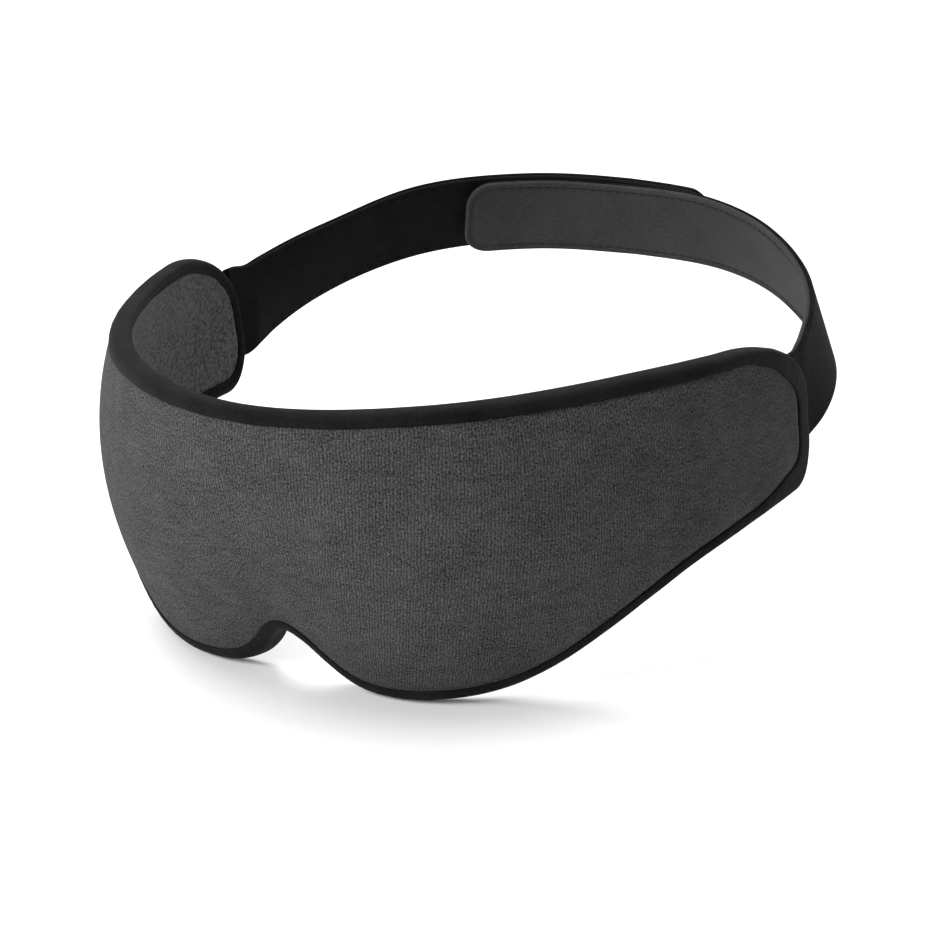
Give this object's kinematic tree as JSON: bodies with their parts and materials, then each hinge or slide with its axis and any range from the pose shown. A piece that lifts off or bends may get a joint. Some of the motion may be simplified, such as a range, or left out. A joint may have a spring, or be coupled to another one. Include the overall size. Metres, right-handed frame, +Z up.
{
  "type": "sleep eye mask",
  "caption": "Contoured padded sleep mask in grey jersey with a black bound edge and an adjustable hook-and-loop head strap.",
  "frame": {"origin": "middle of the head opening, between the two strap hinge lines in plan a few millimetres ahead of them, at the height where the straps leave the mask", "axes": "+X runs across the face towards the side with the grey strap, -Y is the front of the mask, +Z is up"},
  "size_m": [0.1816, 0.2233, 0.088],
  "materials": {
    "heather_jersey": "heather grey rib-faced jersey knit",
    "blackout_film": "dull coated film",
    "foam": "open-cell foam",
    "brushed_lining": "brushed short-nap knit",
    "black_binding": "matt stretch binding",
    "elastic_webbing": "ribbed elastic",
    "grey_strap_lining": "smooth fine-gauge knit",
    "loop_pile": "brushed loop pile",
    "hook_tape": "moulded hook tape",
    "black_thread": "twisted thread",
    "grey_thread": "twisted thread"
  },
  "bodies": {
    "mask": {"front_cover": "heather_jersey", "blackout_layer": "blackout_film", "foam_core": "foam", "left_eye_cushion": "foam", "right_eye_cushion": "foam", "nose_pad": "foam", "inner_lining": "brushed_lining", "top_binding": "black_binding", "bottom_binding": "black_binding", "left_end_binding": "black_binding", "right_end_binding": "black_binding", "binding_stitching": "black_thread", "left_strap_anchor": "elastic_webbing", "right_strap_anchor": "elastic_webbing", "left_anchor_stitching": "black_thread", "right_anchor_stitching": "black_thread"},
    "right_root": {"right_strap_root": "elastic_webbing"},
    "right_strap": {"right_strap_webbing": "elastic_webbing", "right_strap_lining": "grey_strap_lining", "right_strap_stitching": "grey_thread"},
    "right_tab": {"right_tab_webbing": "elastic_webbing", "right_tab_lining": "grey_strap_lining", "hook_patch": "hook_tape", "right_tab_stitching": "grey_thread"},
    "left_root": {"left_strap_root": "elastic_webbing"},
    "left_strap": {"left_strap_webbing": "elastic_webbing", "left_strap_loop_lining": "loop_pile", "left_strap_stitching": "black_thread"},
    "left_tip": {"left_tip_webbing": "elastic_webbing", "left_tip_loop_lining": "loop_pile", "left_tip_stitching": "black_thread"}
  },
  "joints": [
    {"name": "size_adjust_right", "type": "hinge", "parent": "mask", "child": "right_root", "pos_m": [0.08557, 0.0022, 0], "axis": [0, 0, 1], "range_deg": [-4, 4]},
    {"name": "size_adjust_left", "type": "hinge", "parent": "mask", "child": "left_root", "pos_m": [-0.08447, 0.0047, 0], "axis": [0, 0, 1], "range_deg": [-4, 4]},
    {"name": "right_strap_fold", "type": "hinge", "parent": "right_root", "child": "right_strap", "pos_m": [0.08541, 0.00817, 0.00138], "axis": [-0.1285, -0.009, 0.9917], "range_deg": [0, 60]},
    {"name": "left_strap_fold", "type": "hinge", "parent": "left_root", "child": "left_strap", "pos_m": [-0.08429, 0.01053, 0.00145], "axis": [0.0129, -0.0009, 0.9999], "range_deg": [0, 50]},
    {"name": "tab_peel", "type": "hinge", "parent": "right_strap", "child": "right_tab", "pos_m": [-0.00989, 0.08278, 0.01923], "axis": [0.0529, -0.4308, 0.9009], "range_deg": [0, 60]},
    {"name": "tip_lift", "type": "hinge", "parent": "left_strap", "child": "left_tip", "pos_m": [0.00743, 0.08706, 0.02045], "axis": [-0.0379, -0.4334, 0.9004], "range_deg": [0, 60]}
  ],
  "couplings": [
    {"joint": "size_adjust_left", "follows": "size_adjust_right", "ratio": -1}
  ]
}
